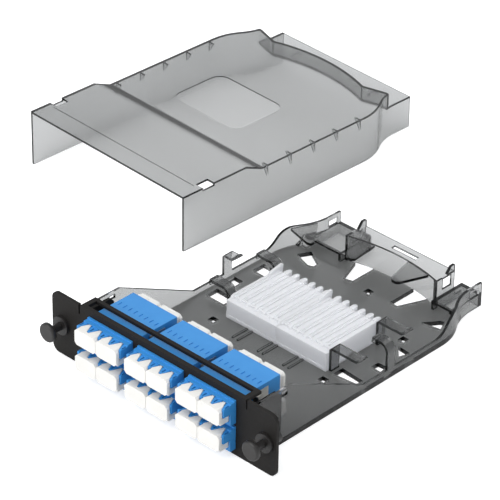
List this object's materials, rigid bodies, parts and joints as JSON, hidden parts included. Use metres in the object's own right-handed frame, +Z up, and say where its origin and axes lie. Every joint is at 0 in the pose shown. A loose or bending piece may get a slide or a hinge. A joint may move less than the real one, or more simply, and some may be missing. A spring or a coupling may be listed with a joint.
{
  "type": "fibre splice cassette",
  "caption": "Fibre splice cassette: plunger-fixed face plate with capped blue adapters, a smoke tray with fibre fingers and splice holders, and its cover taken off beside it.",
  "frame": {"origin": "middle of the line between the two plungers, on the rear face of the face plate", "axes": "+X right seen from the front, +Y back into the tray, +Z up from the tray's floor"},
  "size_m": [0.2486, 0.2608, 0.03],
  "materials": {
    "black_paint": "satin black powder coat",
    "black_nylon": "moulded nylon",
    "blue_plastic": "moulded blue plastic",
    "spring_steel": "bright spring steel",
    "white_cap": "soft white plastic",
    "smoke_tray": "smoke-grey moulded plastic",
    "frosted_holder": "frosted soft plastic",
    "smoke_cover": "smoke-grey moulded plastic"
  },
  "bodies": {
    "tray_body": {"face_plate": "black_paint", "left_grommet": "black_nylon", "right_grommet": "black_nylon", "adapter_lower_left": "blue_plastic", "clip_lower_left": "spring_steel", "adapter_upper_left": "blue_plastic", "clip_upper_left": "spring_steel", "adapter_lower_middle": "blue_plastic", "clip_lower_middle": "spring_steel", "adapter_upper_middle": "blue_plastic", "clip_upper_middle": "spring_steel", "adapter_lower_right": "blue_plastic", "clip_lower_right": "spring_steel", "adapter_upper_right": "blue_plastic", "clip_upper_right": "spring_steel", "tray_floor": "smoke_tray", "tray_left_wall": "smoke_tray", "tray_right_wall": "smoke_tray", "left_entry_ledge": "smoke_tray", "right_entry_ledge": "smoke_tray", "guide_wall": "smoke_tray", "rear_shelf": "smoke_tray", "wall_tab": "smoke_tray", "right_front_finger": "smoke_tray", "right_rear_finger": "smoke_tray", "right_wall_finger": "smoke_tray", "left_front_finger": "smoke_tray", "left_rear_finger": "smoke_tray", "left_wall_finger": "smoke_tray", "left_splice_holder": "frosted_holder", "right_splice_holder": "frosted_holder"},
    "cover_body": {"cover": "smoke_cover"},
    "left_plunger_body": {"left_plunger": "black_nylon"},
    "right_plunger_body": {"right_plunger": "black_nylon"},
    "front_cap_lower_left_1_body": {"front_cap_lower_left_1": "white_cap"},
    "rear_cap_lower_left_1_body": {"rear_cap_lower_left_1": "white_cap"},
    "front_cap_lower_left_2_body": {"front_cap_lower_left_2": "white_cap"},
    "rear_cap_lower_left_2_body": {"rear_cap_lower_left_2": "white_cap"},
    "front_cap_upper_left_1_body": {"front_cap_upper_left_1": "white_cap"},
    "rear_cap_upper_left_1_body": {"rear_cap_upper_left_1": "white_cap"},
    "front_cap_upper_left_2_body": {"front_cap_upper_left_2": "white_cap"},
    "rear_cap_upper_left_2_body": {"rear_cap_upper_left_2": "white_cap"},
    "front_cap_lower_middle_1_body": {"front_cap_lower_middle_1": "white_cap"},
    "rear_cap_lower_middle_1_body": {"rear_cap_lower_middle_1": "white_cap"},
    "front_cap_lower_middle_2_body": {"front_cap_lower_middle_2": "white_cap"},
    "rear_cap_lower_middle_2_body": {"rear_cap_lower_middle_2": "white_cap"},
    "front_cap_upper_middle_1_body": {"front_cap_upper_middle_1": "white_cap"},
    "rear_cap_upper_middle_1_body": {"rear_cap_upper_middle_1": "white_cap"},
    "front_cap_upper_middle_2_body": {"front_cap_upper_middle_2": "white_cap"},
    "rear_cap_upper_middle_2_body": {"rear_cap_upper_middle_2": "white_cap"},
    "front_cap_lower_right_1_body": {"front_cap_lower_right_1": "white_cap"},
    "rear_cap_lower_right_1_body": {"rear_cap_lower_right_1": "white_cap"},
    "front_cap_lower_right_2_body": {"front_cap_lower_right_2": "white_cap"},
    "rear_cap_lower_right_2_body": {"rear_cap_lower_right_2": "white_cap"},
    "front_cap_upper_right_1_body": {"front_cap_upper_right_1": "white_cap"},
    "rear_cap_upper_right_1_body": {"rear_cap_upper_right_1": "white_cap"},
    "front_cap_upper_right_2_body": {"front_cap_upper_right_2": "white_cap"},
    "rear_cap_upper_right_2_body": {"rear_cap_upper_right_2": "white_cap"}
  },
  "joints": [
    {"name": "cover_lift", "type": "slide", "parent": "tray_body", "child": "cover_body", "axis": [0, 0, 1], "range_m": [0, 0.06]},
    {"name": "left_plunger_pull", "type": "slide", "parent": "tray_body", "child": "left_plunger_body", "axis": [0, -1, 0], "range_m": [0, 0.004]},
    {"name": "right_plunger_pull", "type": "slide", "parent": "tray_body", "child": "right_plunger_body", "axis": [0, -1, 0], "range_m": [0, 0.004]},
    {"name": "front_cap_lower_left_1_pull", "type": "slide", "parent": "tray_body", "child": "front_cap_lower_left_1_body", "axis": [0, -1, 0], "range_m": [0, 0.014]},
    {"name": "rear_cap_lower_left_1_pull", "type": "slide", "parent": "tray_body", "child": "rear_cap_lower_left_1_body", "axis": [0, 1, 0], "range_m": [0, 0.014]},
    {"name": "front_cap_lower_left_2_pull", "type": "slide", "parent": "tray_body", "child": "front_cap_lower_left_2_body", "axis": [0, -1, 0], "range_m": [0, 0.014]},
    {"name": "rear_cap_lower_left_2_pull", "type": "slide", "parent": "tray_body", "child": "rear_cap_lower_left_2_body", "axis": [0, 1, 0], "range_m": [0, 0.014]},
    {"name": "front_cap_upper_left_1_pull", "type": "slide", "parent": "tray_body", "child": "front_cap_upper_left_1_body", "axis": [0, -1, 0], "range_m": [0, 0.014]},
    {"name": "rear_cap_upper_left_1_pull", "type": "slide", "parent": "tray_body", "child": "rear_cap_upper_left_1_body", "axis": [0, 1, 0], "range_m": [0, 0.014]},
    {"name": "front_cap_upper_left_2_pull", "type": "slide", "parent": "tray_body", "child": "front_cap_upper_left_2_body", "axis": [0, -1, 0], "range_m": [0, 0.014]},
    {"name": "rear_cap_upper_left_2_pull", "type": "slide", "parent": "tray_body", "child": "rear_cap_upper_left_2_body", "axis": [0, 1, 0], "range_m": [0, 0.014]},
    {"name": "front_cap_lower_middle_1_pull", "type": "slide", "parent": "tray_body", "child": "front_cap_lower_middle_1_body", "axis": [0, -1, 0], "range_m": [0, 0.014]},
    {"name": "rear_cap_lower_middle_1_pull", "type": "slide", "parent": "tray_body", "child": "rear_cap_lower_middle_1_body", "axis": [0, 1, 0], "range_m": [0, 0.014]},
    {"name": "front_cap_lower_middle_2_pull", "type": "slide", "parent": "tray_body", "child": "front_cap_lower_middle_2_body", "axis": [0, -1, 0], "range_m": [0, 0.014]},
    {"name": "rear_cap_lower_middle_2_pull", "type": "slide", "parent": "tray_body", "child": "rear_cap_lower_middle_2_body", "axis": [0, 1, 0], "range_m": [0, 0.014]},
    {"name": "front_cap_upper_middle_1_pull", "type": "slide", "parent": "tray_body", "child": "front_cap_upper_middle_1_body", "axis": [0, -1, 0], "range_m": [0, 0.014]},
    {"name": "rear_cap_upper_middle_1_pull", "type": "slide", "parent": "tray_body", "child": "rear_cap_upper_middle_1_body", "axis": [0, 1, 0], "range_m": [0, 0.014]},
    {"name": "front_cap_upper_middle_2_pull", "type": "slide", "parent": "tray_body", "child": "front_cap_upper_middle_2_body", "axis": [0, -1, 0], "range_m": [0, 0.014]},
    {"name": "rear_cap_upper_middle_2_pull", "type": "slide", "parent": "tray_body", "child": "rear_cap_upper_middle_2_body", "axis": [0, 1, 0], "range_m": [0, 0.014]},
    {"name": "front_cap_lower_right_1_pull", "type": "slide", "parent": "tray_body", "child": "front_cap_lower_right_1_body", "axis": [0, -1, 0], "range_m": [0, 0.014]},
    {"name": "rear_cap_lower_right_1_pull", "type": "slide", "parent": "tray_body", "child": "rear_cap_lower_right_1_body", "axis": [0, 1, 0], "range_m": [0, 0.014]},
    {"name": "front_cap_lower_right_2_pull", "type": "slide", "parent": "tray_body", "child": "front_cap_lower_right_2_body", "axis": [0, -1, 0], "range_m": [0, 0.014]},
    {"name": "rear_cap_lower_right_2_pull", "type": "slide", "parent": "tray_body", "child": "rear_cap_lower_right_2_body", "axis": [0, 1, 0], "range_m": [0, 0.014]},
    {"name": "front_cap_upper_right_1_pull", "type": "slide", "parent": "tray_body", "child": "front_cap_upper_right_1_body", "axis": [0, -1, 0], "range_m": [0, 0.014]},
    {"name": "rear_cap_upper_right_1_pull", "type": "slide", "parent": "tray_body", "child": "rear_cap_upper_right_1_body", "axis": [0, 1, 0], "range_m": [0, 0.014]},
    {"name": "front_cap_upper_right_2_pull", "type": "slide", "parent": "tray_body", "child": "front_cap_upper_right_2_body", "axis": [0, -1, 0], "range_m": [0, 0.014]},
    {"name": "rear_cap_upper_right_2_pull", "type": "slide", "parent": "tray_body", "child": "rear_cap_upper_right_2_body", "axis": [0, 1, 0], "range_m": [0, 0.014]}
  ]
}
